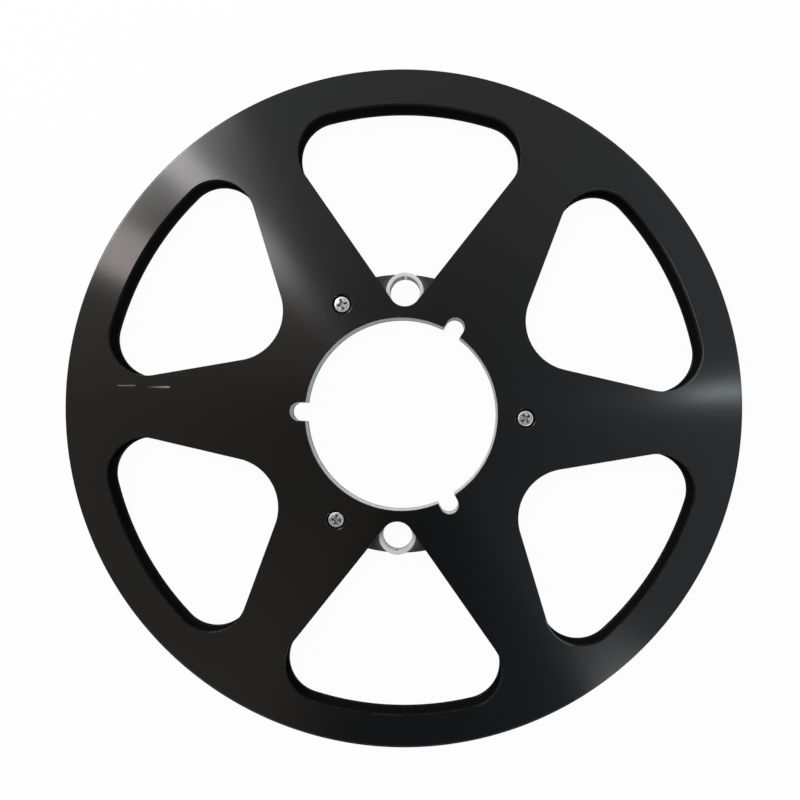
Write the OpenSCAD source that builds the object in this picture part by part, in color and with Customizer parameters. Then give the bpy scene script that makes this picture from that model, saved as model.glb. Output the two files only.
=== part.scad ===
// Tape reel with a large notched centre hole: two windowed flanges screwed to a drum.
// The reel lies flat on its back flange. The origin is on its axis, at the back flange's outer face.
// +Z runs along the axis to the front flange, and the threading windows point along +Y and -Y.

/* [Flanges] */
// Outside diameter of both flanges
flange_d = 266.7; // [240:0.1:320]
// Thickness of each flange
flange_t = 2; // [1.8:0.1:2.6]
// Overall thickness of the reel, outer face to outer face
reel_t = 12.7; // [11.5:0.1:16]
// Edge break round the rims of the flanges and of the drum
edge_break = 0.3; // [0.1:0.05:0.5]

/* [Windows] */
// Width of the solid rim outside the windows
rim_w = 13.2; // [8:0.1:20]
// Radius of the outer corners of every window
corner_r = 15; // [8:0.5:18]
// Angle from the middle line of a threading window to its sides
thread_side_angle = 36.7; // [34:0.1:38]
// Angle from the middle line of a plain window to its sides
plain_side_angle = 41.3; // [39:0.1:43]
// Radius of the rounded inner end of a plain window
plain_tip_r = 19.6; // [14:0.1:22]
// Distance from the drum's surface out to the inner end of a plain window
plain_tip_gap = 3; // [1:0.1:8]
// Bare ring that a threading window leaves round the bore of the bush under it
thread_tip_margin = 0.45; // [0.2:0.05:0.8]
// Distance from the bush's axis out to the middle of the threading window's rounded end
thread_tip_shift = 0.4; // [0:0.05:0.6]

/* [Centre hole] */
// Diameter of the centre hole
bore_d = 76.2; // [70:0.1:92]
// Wall of the liner in the centre hole
liner_wall = 1.9; // [1.5:0.1:3]
// Width of each drive notch
notch_w = 7.3; // [5:0.1:9]
// Depth of each drive notch, measured out from the wall of the centre hole
notch_depth = 6.1; // [4.6:0.1:7]
// Wall of the liner round a drive notch
notch_wall = 1.5; // [1:0.1:1.8]
// Edge break at both ends of the liner
liner_break = 0.2; // [0.1:0.05:0.4]
// How much further out the flanges stand all round the centre hole
flange_setback = 0.1; // [0.05:0.05:0.4]

/* [Threading bushes] */
// Bore of each threading bush
bush_bore_d = 11.9; // [10:0.1:14.5]
// Wall of the bush's barrel
bush_wall = 0.35; // [0.3:0.05:0.8]
// Width of the flat lip, measured out from the bush's bore
bush_lip_w = 1.5; // [1:0.1:2]
// Thickness of the lip
bush_lip_t = 0.8; // [0.5:0.1:1.2]
// Width of the slot that takes the end of the tape
slot_w = 1; // [0.6:0.1:1.5]
// Drum wall left outside the pocket of a bush
drum_wall = 0.3; // [0.2:0.05:1]
// Drum wall left between the pocket of a lip and the liner
web = 0.7; // [0.5:0.1:3]

/* [Screws] */
// Distance of the screws' axes inside the drum's surface
screw_inset = 6; // [5:0.1:7]
// Diameter of a screw's head
head_d = 6.1; // [5:0.1:7]
// Straight land above the cone of a screw's head
head_land = 0.15; // [0.1:0.05:0.3]
// Diameter of a screw's shank
shank_d = 3; // [2.5:0.1:4]
// Depth of the head's top below the flange's outer face
head_sink = 0.65; // [0.2:0.05:0.8]
// Gap between the tips of the two screws that meet in one hole
tip_gap = 1.4; // [0.5:0.1:3]
// Length across the cross recess at the top of the head
recess_l = 4.3; // [3:0.1:4.6]
// Length across the cross recess at its floor
recess_floor_l = 1.8; // [1:0.1:2.2]
// Width of each arm of the cross recess
recess_w = 0.95; // [0.5:0.05:1.1]
// Depth of the cross recess
recess_depth = 1.2; // [0.8:0.1:1.3]

/* [Fits] */
// Clearance of the liner, the bushes and the screws in their seats, on the radius
fit_gap = 0.05; // [0.02:0.01:0.1]
// Clearance round a lip in its pocket, on the radius
lip_gap = 0.2; // [0.1:0.05:0.4]

/* [Hidden] */
$fn = 128;

// Directions of what repeats round the axis
thread_angles = [90, 270];
plain_angles = [30, 150, 210, 330];
notch_angles = [60, 180, 300];
screw_angles = [0, 120, 240];
// Turn of each screw's cross recess, as it happened to be tightened
front_turns = [38, 77, 24];
back_turns = [12, 80, 51];

// Radii that follow from the sizes above, from the axis outwards
bore_r = bore_d / 2;
liner_r = bore_r + liner_wall;
bush_r = bush_bore_d / 2 + bush_wall;
lip_r = bush_bore_d / 2 + bush_lip_w;
bush_pocket_r = bush_r + fit_gap;
lip_pocket_r = lip_r + lip_gap;
bush_pitch_r = liner_r + fit_gap + web + lip_pocket_r;
drum_r = bush_pitch_r + bush_pocket_r + drum_wall;
screw_pitch_r = drum_r - screw_inset;
notch_end_r = notch_w / 2;
notch_centre = bore_r + notch_depth - notch_end_r;
window_outer_r = flange_d / 2 - rim_w;
thread_tip_r = bush_bore_d / 2 + thread_tip_margin;
thread_tip_centre = bush_pitch_r + thread_tip_shift;
plain_tip_centre = drum_r + plain_tip_gap + plain_tip_r;

// Heights
drum_t = reel_t - 2 * flange_t;
screw_l = (reel_t - tip_gap) / 2 - head_sink;
cone_h = (head_d - shank_d) / 2;

// Cuts run past the faces that they open by this much
past = 1;
// Greatest distance of a computed outline from its true arc
arc_error = 0.02;

// Points along an arc, without the last one
function arc(centre, r, from, to) =
    let (steps = ceil(abs(to - from) / (2 * acos(1 - arc_error / r))))
    [for (i = [0:steps - 1])
        let (a = from + (to - from) * i / steps)
        centre + r * [cos(a), sin(a)]];

// Outline of a window on the +X axis: an outer arc, two corners, straight sides and a round inner end
function window_outline(side, tip_centre, tip_r) =
    let (
        offset = tip_r - tip_centre * sin(side) - corner_r,
        reach = window_outer_r - corner_r,
        corner_a = side + atan2(offset, sqrt(reach * reach - offset * offset)),
        corner = reach * [cos(corner_a), sin(corner_a)]
    )
    concat(
        arc([0, 0], window_outer_r, -corner_a, corner_a),
        arc(corner, corner_r, corner_a, side + 90),
        arc([tip_centre, 0], tip_r, side + 90, 270 - side),
        arc([corner[0], -corner[1]], corner_r, 270 - side, 360 - corner_a));

// Outline of a drive notch on the +X axis, wider all round by a margin
function notch_outline(margin) =
    concat(
        [[bore_r / 2, -notch_end_r - margin]],
        arc([notch_centre, 0], notch_end_r + margin, -90, 90),
        [[notch_centre, notch_end_r + margin], [bore_r / 2, notch_end_r + margin]]);

module around(angles) {
    for (a = angles) rotate(a) children();
}

module notches(margin, height) {
    around(notch_angles) linear_extrude(height) polygon(notch_outline(margin));
}

// Disc with both of its outer edges broken
module broken_disc(r, height) {
    rotate_extrude() polygon([
        [0, 0], [r - edge_break, 0], [r, edge_break],
        [r, height - edge_break], [r - edge_break, height], [0, height]]);
}

// Space of one screw, with the outer face of its flange at height 0 and the screw below
module screw_space() {
    mouth_r = head_d / 2 + head_land + head_sink + fit_gap;
    hole_r = shank_d / 2 + fit_gap;
    seat_h = mouth_r - hole_r;
    translate([0, 0, -seat_h]) cylinder(h = seat_h, r1 = hole_r, r2 = mouth_r);
    translate([0, 0, -reel_t / 2 - past]) cylinder(h = reel_t / 2 + past, r = hole_r);
    cylinder(h = past, r = mouth_r);
}

// The spaces of the three screws of one face, with that face at height 0
module screw_spaces() {
    around(screw_angles) translate([screw_pitch_r, 0, 0]) screw_space();
}

// Flange with its outer face up, at the height flange_t
module flange() {
    difference() {
        broken_disc(flange_d / 2, flange_t);
        translate([0, 0, -past]) cylinder(h = flange_t + 2 * past, r = bore_r + flange_setback);
        translate([0, 0, -past]) notches(flange_setback, flange_t + 2 * past);
        translate([0, 0, -past]) {
            around(thread_angles) linear_extrude(flange_t + 2 * past)
                polygon(window_outline(thread_side_angle, thread_tip_centre, thread_tip_r));
            around(plain_angles) linear_extrude(flange_t + 2 * past)
                polygon(window_outline(plain_side_angle, plain_tip_centre, plain_tip_r));
        }
        translate([0, 0, flange_t]) screw_spaces();
    }
}

module front_flange() {
    color("#1f1f20") translate([0, 0, reel_t - flange_t]) flange();
}

module back_flange() {
    color("#1f1f20") mirror([0, 0, 1]) translate([0, 0, -flange_t]) flange();
}

// Space that one bush takes from the drum: the barrel, a lip at each face and the tape slot
module bush_space() {
    translate([bush_pitch_r, 0, flange_t]) {
        translate([0, 0, -past]) cylinder(h = drum_t + 2 * past, r = bush_pocket_r);
        translate([0, 0, -past]) cylinder(h = past + bush_lip_t, r = lip_pocket_r);
        translate([0, 0, drum_t - bush_lip_t]) cylinder(h = past + bush_lip_t, r = lip_pocket_r);
        translate([0, -slot_w / 2, -past]) cube([lip_pocket_r + past, slot_w, drum_t + 2 * past]);
    }
}

module hub_core() {
    color("#3b3b3d") difference() {
        translate([0, 0, flange_t]) broken_disc(drum_r, drum_t);
        translate([0, 0, flange_t - past]) {
            cylinder(h = drum_t + 2 * past, r = liner_r + fit_gap);
            notches(notch_wall + fit_gap, drum_t + 2 * past);
        }
        around(thread_angles) bush_space();
        translate([0, 0, reel_t]) screw_spaces();
        mirror([0, 0, 1]) screw_spaces();
    }
}

module bore_liner() {
    color("#b8babc") translate([0, 0, flange_t]) difference() {
        linear_extrude(drum_t) {
            circle(liner_r);
            around(notch_angles) polygon(notch_outline(notch_wall));
        }
        bore_space();
        translate([0, 0, -past]) notches(0, drum_t + 2 * past);
    }
}

// Space of the centre hole in the liner, flared a little at both of its ends
module bore_space() {
    flare_r = bore_r + liner_break;
    rotate_extrude() polygon([
        [0, -past], [flare_r, -past], [flare_r, 0], [bore_r, liner_break],
        [bore_r, drum_t - liner_break], [flare_r, drum_t], [flare_r, drum_t + past],
        [0, drum_t + past]]);
}

// Half of a threading bush, with its lip's face at height 0 and its barrel below
module half_bush() {
    barrel_l = drum_t / 2;
    difference() {
        union() {
            translate([0, 0, -barrel_l]) cylinder(h = barrel_l, r = bush_r);
            translate([0, 0, -bush_lip_t]) cylinder(h = bush_lip_t, r = lip_r);
        }
        translate([0, 0, -barrel_l - past]) cylinder(h = barrel_l + 2 * past, d = bush_bore_d);
        translate([0, -slot_w / 2, -barrel_l - past])
            cube([bush_r + past, slot_w, barrel_l + past - bush_lip_t]);
    }
}

module bush_front(i) {
    color("#c6c7c8") rotate(thread_angles[i - 1])
        translate([bush_pitch_r, 0, reel_t - flange_t]) half_bush();
}

module bush_back(i) {
    color("#c6c7c8") rotate(thread_angles[i - 1])
        translate([bush_pitch_r, 0, flange_t]) mirror([0, 0, 1]) half_bush();
}

// Outline of one arm of the cross recess, seen from its side, with the head's top at height 0
function recess_outline() = [
    [-recess_l / 2, past], [-recess_l / 2, 0], [-recess_floor_l / 2, -recess_depth],
    [recess_floor_l / 2, -recess_depth], [recess_l / 2, 0], [recess_l / 2, past]];

// Countersunk screw with its head's top at height 0
module screw(turn) {
    difference() {
        union() {
            translate([0, 0, -head_land]) cylinder(h = head_land, d = head_d);
            translate([0, 0, -head_land - cone_h]) cylinder(h = cone_h, d1 = shank_d, d2 = head_d);
            translate([0, 0, -screw_l]) cylinder(h = screw_l - head_land, d = shank_d);
        }
        for (arm = [0, 90]) rotate([90, 0, turn + arm])
            linear_extrude(recess_w, center = true) polygon(recess_outline());
    }
}

module front_screw(i) {
    color("#d2d3d5") rotate(screw_angles[i - 1])
        translate([screw_pitch_r, 0, reel_t - head_sink]) screw(front_turns[i - 1]);
}

module back_screw(i) {
    color("#d2d3d5") rotate(screw_angles[i - 1])
        translate([screw_pitch_r, 0, head_sink]) mirror([0, 0, 1]) screw(back_turns[i - 1]);
}

front_flange();
back_flange();
hub_core();
bore_liner();
for (i = [1:len(thread_angles)]) {
    bush_front(i);
    bush_back(i);
}
for (i = [1:len(screw_angles)]) {
    front_screw(i);
    back_screw(i);
}
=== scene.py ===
"""Looks of a tape reel that lies flat on its back flange, in metres, in the frame of its CAD model."""

import logging
import math
import sys
from dataclasses import dataclass
from enum import Enum
from typing import Callable, Iterable, Union

import bpy
from mathutils import Euler, Matrix, Vector


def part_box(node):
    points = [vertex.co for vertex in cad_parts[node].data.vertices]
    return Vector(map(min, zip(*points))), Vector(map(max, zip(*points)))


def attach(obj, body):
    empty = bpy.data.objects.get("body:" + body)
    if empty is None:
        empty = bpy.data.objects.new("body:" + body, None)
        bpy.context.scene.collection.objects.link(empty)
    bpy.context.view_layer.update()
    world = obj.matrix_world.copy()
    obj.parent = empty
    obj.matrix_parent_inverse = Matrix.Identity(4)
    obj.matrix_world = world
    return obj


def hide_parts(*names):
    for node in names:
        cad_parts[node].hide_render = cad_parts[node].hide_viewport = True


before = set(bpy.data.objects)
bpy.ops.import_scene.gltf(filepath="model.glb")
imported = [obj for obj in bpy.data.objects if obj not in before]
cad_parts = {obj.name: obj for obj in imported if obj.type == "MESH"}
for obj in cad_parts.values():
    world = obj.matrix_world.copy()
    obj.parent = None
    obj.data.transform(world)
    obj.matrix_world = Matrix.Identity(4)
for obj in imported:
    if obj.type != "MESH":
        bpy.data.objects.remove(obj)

LOG = logging.getLogger("tape_reel")
MM = 0.001
MERGE_DISTANCE = 0.002 * MM
ON_SURFACE = 0.02 * MM
MIDDLE = 6.35 * MM
BUSH_PITCH = 48.4 * MM
SCREW_PITCH = 49.05 * MM
RING_DETAIL = 2.0
PATCH_DETAIL = 3.0
LINE_CORE = 0.2
FLAT_TURN = 0.05
FULL_WEIGHT = 100
Number = Union[float, "Signal"]
Point = tuple[float, float]
Place = tuple[float, float, float]
Colour = tuple[float, float, float, float]


class Slot(Enum):
    """Material slots of the record, one for each kind of finish."""

    BLACK = "black_anodised"
    GREY = "grey_anodised"
    BARE = "bare_aluminium"
    SCREW = "bright_screw"


class Pick(Enum):
    """What edit mode selects."""

    VERTICES = "VERT"
    EDGES = "EDGE"
    FACES = "FACE"


def polar(radius: float, degrees: float) -> Point:
    """A point at a distance from the axis, in the direction degrees from +X."""
    turn = math.radians(degrees)
    return radius * math.cos(turn), radius * math.sin(turn)


def turned(degrees: float) -> Matrix:
    """A turn about the reel's axis, anticlockwise from above."""
    return Matrix.Rotation(math.radians(degrees), 4, "Z")


def mirrored(height: float) -> Matrix:
    """A mirror in the level plane at a height."""
    return Matrix.Translation((0.0, 0.0, 2 * height)) @ Matrix.Scale(-1, 4, (0.0, 0.0, 1.0))


def grey(level: float, warmth: float = 0.0) -> Colour:
    """A linear grey, with its red raised and its blue lowered by the warmth's share."""
    return level * (1 + warmth), level, level * (1 - warmth), 1.0


class Signal:
    """A number that varies over a surface: an output socket on which arithmetic adds Math nodes."""

    def __init__(self, graph: "Graph", socket: bpy.types.NodeSocket) -> None:
        """Keeps the socket and the graph that its arithmetic grows in."""
        self.graph = graph
        self.socket = socket

    def __add__(self, other: Number) -> "Signal":
        """Sum of two signals."""
        return self.graph.math("ADD", self, other)

    def __sub__(self, other: Number) -> "Signal":
        """Difference of two signals."""
        return self.graph.math("SUBTRACT", self, other)

    def __rsub__(self, other: Number) -> "Signal":
        """A number less this signal."""
        return self.graph.math("SUBTRACT", other, self)

    def __mul__(self, other: Number) -> "Signal":
        """Product of two signals."""
        return self.graph.math("MULTIPLY", self, other)

    def __truediv__(self, other: Number) -> "Signal":
        """Quotient of two signals."""
        return self.graph.math("DIVIDE", self, other)

    def __abs__(self) -> "Signal":
        """The signal without its sign."""
        return self.graph.math("ABSOLUTE", self)

    __radd__ = __add__

    def spread(self, width: float) -> "Signal":
        """A noise of 0 to 1, turned into a difference of half the width to either side."""
        return (self - 0.5) * width

    def ramp(self, start: float, end: float) -> "Signal":
        """A smooth step as the signal goes from start to end.

        Args:
            start: Where the step is still 0.
            end: Where it has reached 1.

        Returns:
            The step.
        """
        inputs = {"Value": self, "From Min": start, "From Max": end}
        made = self.graph.node("MapRange", inputs, interpolation_type="SMOOTHSTEP")
        return Signal(self.graph, made.outputs["Result"])


class Graph:
    """The node tree of one material or of the world."""

    def __init__(self, owner: bpy.types.ID) -> None:
        """Empties a node tree.

        Args:
            owner: The material or world that it belongs to.
        """
        owner.use_nodes = True
        self.tree = owner.node_tree
        self.tree.nodes.clear()

    def node(
        self,
        kind: str,
        inputs: dict | None = None,
        stops: Iterable[tuple[float, Colour]] = (),
        **settings: object,
    ) -> bpy.types.Node:
        """Adds a node, sets it up and links it.

        Args:
            kind: The node's type, without the word ShaderNode.
            inputs: A value, a signal or an output socket for each named or numbered input.
            stops: Places and colours of a ramp's stops.
            **settings: The node's own settings, which are set first.

        Returns:
            The new node.
        """
        made = self.tree.nodes.new("ShaderNode" + kind)
        for name, value in settings.items():
            setattr(made, name, value)
        for i, (place, colour) in enumerate(stops):
            elements = made.color_ramp.elements
            stop = elements[i] if i < len(elements) else elements.new(place)
            stop.position, stop.color = place, colour
        for name, value in (inputs or {}).items():
            target = made.inputs[name]
            if isinstance(value, Signal):
                value = value.socket
            if isinstance(value, bpy.types.NodeSocket):
                self.tree.links.new(value, target)
            else:
                target.default_value = value
        return made

    def math(self, operation: str, *terms: Number) -> Signal:
        """Adds a Math node.

        Args:
            operation: The Math node's operation.
            *terms: One to three numbers or signals.

        Returns:
            The node's result.
        """
        made = self.node("Math", dict(enumerate(terms)), operation=operation)
        return Signal(self, made.outputs[0])

    def distance(self, x: Signal, y: Signal) -> Signal:
        """Length of the way that goes x along X and y along Y."""
        return self.math("SQRT", x * x + y * y)

    def noise(self, vector: bpy.types.NodeSocket, size: float, detail: float = PATCH_DETAIL) -> Signal:
        """Adds a Noise node.

        Args:
            vector: The place at which the noise is read.
            size: Size of its patches, in metres.
            detail: Its octaves.

        Returns:
            The noise, from 0 to 1.
        """
        made = self.node("TexNoise", {"Vector": vector, "Scale": 1 / size, "Detail": detail})
        return Signal(self, made.outputs["Fac"])

    def place(self) -> bpy.types.NodeSocket:
        """The surface's point, in the piece's own coordinates."""
        return self.node("TexCoord").outputs["Object"]

    def split(self, vector: bpy.types.NodeSocket) -> tuple[Signal, Signal, Signal]:
        """The three coordinates of a vector."""
        parts = self.node("SeparateXYZ", {0: vector}).outputs
        return Signal(self, parts[0]), Signal(self, parts[1]), Signal(self, parts[2])

    def join(self, x: Number, y: Number, z: Number) -> bpy.types.NodeSocket:
        """A vector made of three numbers."""
        return self.node("CombineXYZ", {0: x, 1: y, 2: z}).outputs[0]

    def blend(self, share: Number, first: object, second: object) -> bpy.types.NodeSocket:
        """A colour that goes from the first to the second as the share goes from 0 to 1."""
        return self.node("Mix", {0: share, 6: first, 7: second}, data_type="RGBA").outputs[2]

    def bump(self, height: Signal, depth: float) -> bpy.types.NodeSocket:
        """A normal that follows a height of 0 to 1, which is that deep in metres."""
        return self.node("Bump", {"Height": height, "Distance": depth}).outputs["Normal"]

    def close(self, kind: str, inputs: dict, output: str = "OutputMaterial") -> None:
        """Ends the tree in one shader.

        Args:
            kind: The shader node's type.
            inputs: Its sockets.
            output: Type of the output node.
        """
        shader = self.node(kind, inputs)
        self.node(output, {"Surface": shader.outputs[0]})


def stroke(across: Signal, half_width: float) -> Signal:
    """Share of a line that is full in its core and fades out at its half width."""
    return 1 - across.ramp(LINE_CORE * half_width, half_width)


@dataclass(frozen=True)
class Scratch:
    """A straight scratch that bares the metal, and grows from its start towards its end."""

    start: Point
    end: Point
    half_width: float
    level: float
    growth: float
    tail: float = 0.92

    def share(self, x: Signal, y: Signal) -> Signal:
        """How much of the metal shows at a place.

        Args:
            x: The place along X.
            y: The place along Y.

        Returns:
            The share.
        """
        (x0, y0), (x1, y1) = self.start, self.end
        across = abs(y - y0 - (x - x0) * ((y1 - y0) / (x1 - x0)))
        along = (x - x0) / (x1 - x0)
        ends = along.ramp(0.0, self.growth) * (1 - along.ramp(self.tail, 1.0))
        return stroke(across, self.half_width) * ends


@dataclass(frozen=True)
class PaintedGlintLine:
    """A painted highlight: a fine pale line on an arc next to the rim or a window, where the edge catches a
    glint.

    It appears over one range of directions and ends over another, in degrees, as seen from its centre.
    """

    starts: Point
    ends: Point
    level: float
    radius: float = 132.75 * MM
    half_width: float = 0.24 * MM
    centre: Point = (0.0, 0.0)

    def share(self, x: Signal, y: Signal) -> Signal:
        """How much of the painted highlight shows at a place.

        Args:
            x: The place along X.
            y: The place along Y.

        Returns:
            The share.
        """
        dx, dy = x - self.centre[0], y - self.centre[1]
        across = abs(x.graph.distance(dx, dy) - self.radius)
        direction = x.graph.math("ARCTAN2", dy, dx) * math.degrees(1)
        along = direction.ramp(*self.starts) - direction.ramp(*self.ends)
        return stroke(across, self.half_width) * along


@dataclass(frozen=True)
class BlackAnodised:
    """Black anodised sheet, turned on a lathe: fine rings make its reflections spread outwards.

    Its rim is worn a little, and its front has two scratches, one small mark and painted highlights: fine
    pale lines along parts of the rim and of some windows.
    """

    level: float = 0.0018
    dark: float = 0.8
    pale: float = 1.25
    warmth: float = 0.03
    roughness: float = 0.149
    uneven: float = 0.03
    anisotropy: float = 0.76
    grain_turn: float = 0.25
    ring_pitch: float = 0.35 * MM
    ring_depth: float = 0.00012 * MM
    mottle_size: float = 22 * MM
    rim: float = 133.35 * MM
    wear_width: float = 0.4 * MM
    wear_size: float = 3 * MM
    wear_patches: Point = (0.45, 0.75)
    wear_level: float = 0.05
    wear_roughness: float = 0.15
    face: float = 12.6 * MM
    inner_half: float = 4.35 * MM
    # painted light: grey of the inner faces, paler than the outer faces, for the light between the flanges
    inner_painted_light_level: float = 0.01
    scratches: tuple[Scratch, ...] = (
        Scratch((-113.0 * MM, 7.97 * MM), (-105.2 * MM, 8.2 * MM), 0.4 * MM, 0.16, 0.1),
        Scratch((-101.8 * MM, 7.72 * MM), (-91.4 * MM, 8.03 * MM), 0.5 * MM, 0.33, 0.95),
    )
    # painted highlights: pale lines where parts of the rim and of some window edges catch a glint
    lines: tuple[PaintedGlintLine, ...] = (
        PaintedGlintLine((122.0, 132.0), (152.0, 162.0), 0.14),
        PaintedGlintLine((141.0, 147.0), (149.0, 155.0), 0.26),
        PaintedGlintLine((33.0, 43.0), (61.0, 71.0), 0.025),
        PaintedGlintLine((-145.0, -135.0), (-60.0, -50.0), 0.035),
        PaintedGlintLine((14.5, 15.5), (30.0, 40.0), 0.07, 120.65 * MM),
        PaintedGlintLine((-60.0, -40.0), (14.5, 15.5), 0.1, 15.5 * MM, centre=(101.55 * MM, 27.28 * MM)),
        PaintedGlintLine((-165.0, -155.0), (-108.0, -98.0), 0.08, 15.4 * MM, 0.4 * MM, (74.4 * MM, -74.3 * MM)),
        PaintedGlintLine((60.0, 72.0), (102.0, 114.0), 0.03, 15.4 * MM, centre=(74.4 * MM, 74.3 * MM)),
        PaintedGlintLine((5.0, 12.0), (30.0, 38.0), 0.03, 15.4 * MM, centre=(28.4 * MM, 101.3 * MM)),
        PaintedGlintLine((-72.0, -55.0), (-10.0, 10.0), 0.025, 15.3 * MM, centre=(28.4 * MM, -101.3 * MM)),
        PaintedGlintLine((-85.0, -75.0), (-45.0, -35.0), 0.025, 15.3 * MM, centre=(-74.4 * MM, -74.3 * MM)),
    )
    mark_level: float = 0.03
    mark_place: Point = (-82.7 * MM, 4.5 * MM)
    mark_radius: float = 0.3 * MM

    def mark(self, x: Signal, y: Signal) -> Signal:
        """Share of the small mark."""
        dx, dy = x - self.mark_place[0], y - self.mark_place[1]
        return 1 - (dx * dx + dy * dy).ramp(0.0, self.mark_radius ** 2)

    def material(self) -> bpy.types.Material:
        """Builds the material.

        Returns:
            The material.
        """
        made = bpy.data.materials.new("black_anodised")
        graph = Graph(made)
        place = graph.place()
        x, y, z = graph.split(place)
        radius = graph.distance(x, y)
        rings = graph.noise(graph.join(radius, 0.0, 0.0), self.ring_pitch)
        mottle = graph.noise(place, self.mottle_size)
        patches = graph.noise(place, self.wear_size).ramp(*self.wear_patches)
        wear = radius.ramp(self.rim - self.wear_width, self.rim) * patches
        front = z.ramp(self.face, self.face + ON_SURFACE)
        dark, pale = grey(self.level * self.dark, self.warmth), grey(self.level * self.pale)
        colour = graph.blend(mottle, dark, pale)
        # painted light: the inner faces are painted paler than the outer faces
        inner = 1 - abs(z - MIDDLE).ramp(self.inner_half, self.inner_half + ON_SURFACE)
        colour = graph.blend(inner, colour, grey(self.inner_painted_light_level))
        colour = graph.blend(wear, colour, grey(self.wear_level))
        colour = graph.blend(self.mark(x, y) * front, colour, grey(self.mark_level))
        for scratch in self.scratches:
            colour = graph.blend(scratch.share(x, y) * front, colour, grey(scratch.level))
        # painted highlights along parts of the rim and of some window edges
        for line in self.lines:
            colour = graph.blend(line.share(x, y) * front, colour, grey(line.level))
        roughness = self.roughness + rings.spread(self.uneven) + mottle.spread(self.uneven)
        graph.close("BsdfPrincipled", {
            "Base Color": colour,
            "Roughness": roughness + wear * self.wear_roughness,
            "Anisotropic": self.anisotropy,
            "Anisotropic Rotation": self.grain_turn,
            "Normal": graph.bump(rings, self.ring_depth),
        })
        return made


@dataclass(frozen=True)
class MattEdge:
    """Black anodised edge of the sheet, as the tool that cut it left it: matt, with lines along the cut.

    Next to the outer faces it has pale patches: worn spots that also serve as a painted highlight along the
    edges.
    """

    level: float = 0.002
    dark: float = 0.6
    pale: float = 1.4
    roughness: float = 0.8
    uneven: float = 0.1
    specular: float = 0.04
    line_pitch: float = 0.25 * MM
    line_depth: float = 0.004 * MM
    mottle_size: float = 4 * MM
    wear_width: float = 0.25 * MM
    wear_size: float = 5 * MM
    wear_patches: Point = (0.48, 0.68)
    # grey of the pale edge patches, which are wear and also a painted edge highlight
    wear_level: float = 0.07
    wear_gloss: float = 0.2

    def material(self) -> bpy.types.Material:
        """Builds the material.

        Returns:
            The material.
        """
        made = bpy.data.materials.new("black_anodised_edge")
        graph = Graph(made)
        place = graph.place()
        z = graph.split(place)[2]
        lines = graph.noise(graph.join(0.0, 0.0, z), self.line_pitch, RING_DETAIL)
        mottle = graph.noise(place, self.mottle_size)
        # pale patches along the edges next to the outer faces: wear, and also a painted edge highlight
        below = abs(abs(z - MIDDLE) - MIDDLE)
        patches = graph.noise(place, self.wear_size).ramp(*self.wear_patches)
        wear = (1 - below.ramp(0.0, self.wear_width)) * patches
        colour = graph.blend(mottle, grey(self.level * self.dark), grey(self.level * self.pale))
        graph.close("BsdfPrincipled", {
            "Base Color": graph.blend(wear, colour, grey(self.wear_level)),
            "Roughness": self.roughness + lines.spread(self.uneven) - wear * self.wear_gloss,
            "Specular IOR Level": self.specular,
            "Normal": graph.bump(lines, self.line_depth),
        })
        return made


@dataclass(frozen=True)
class GreyAnodised:
    """Grey finish of the hub, paler than the flanges, with turning marks, paler next to the bushes, and
    painted shade on its rounded outer rim.
    """

    level: float = 0.022
    dark: float = 0.45
    pale: float = 1.6
    streaks: Point = (0.3, 0.7)
    near_bush_level: float = 0.07
    # grey of the painted shade on the hub's rounded outer rim
    edge_level: float = 0.004
    roughness: float = 0.42
    uneven: float = 0.1
    metallic: float = 0.2
    ring_pitch: float = 0.5 * MM
    ring_depth: float = 0.002 * MM
    near_bush_start: float = 7.3 * MM
    near_bush_end: float = 9.6 * MM
    rim: float = 55.05 * MM
    edge_width: float = 0.35 * MM

    def material(self) -> bpy.types.Material:
        """Builds the material.

        Returns:
            The material.
        """
        made = bpy.data.materials.new("grey_anodised")
        graph = Graph(made)
        x, y, z = graph.split(graph.place())
        radius = graph.distance(x, y)
        rings = graph.noise(graph.join(radius, 0.0, z), self.ring_pitch, RING_DETAIL)
        # paler round each bush
        away = graph.distance(x, abs(y) - BUSH_PITCH)
        near_bush = 1 - away.ramp(self.near_bush_start, self.near_bush_end)
        streaks = rings.ramp(*self.streaks)
        colour = graph.blend(streaks, grey(self.level * self.dark), grey(self.level * self.pale))
        colour = graph.blend(near_bush, colour, grey(self.near_bush_level))
        # painted shade: a dark band on the hub's rounded outer rim
        edge = radius.ramp(self.rim - self.edge_width, self.rim - self.edge_width / 2)
        graph.close("BsdfPrincipled", {
            "Base Color": graph.blend(edge, colour, grey(self.edge_level)),
            "Roughness": self.roughness + rings.spread(self.uneven),
            "Metallic": self.metallic,
            "Normal": graph.bump(rings, self.ring_depth),
        })
        return made


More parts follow.
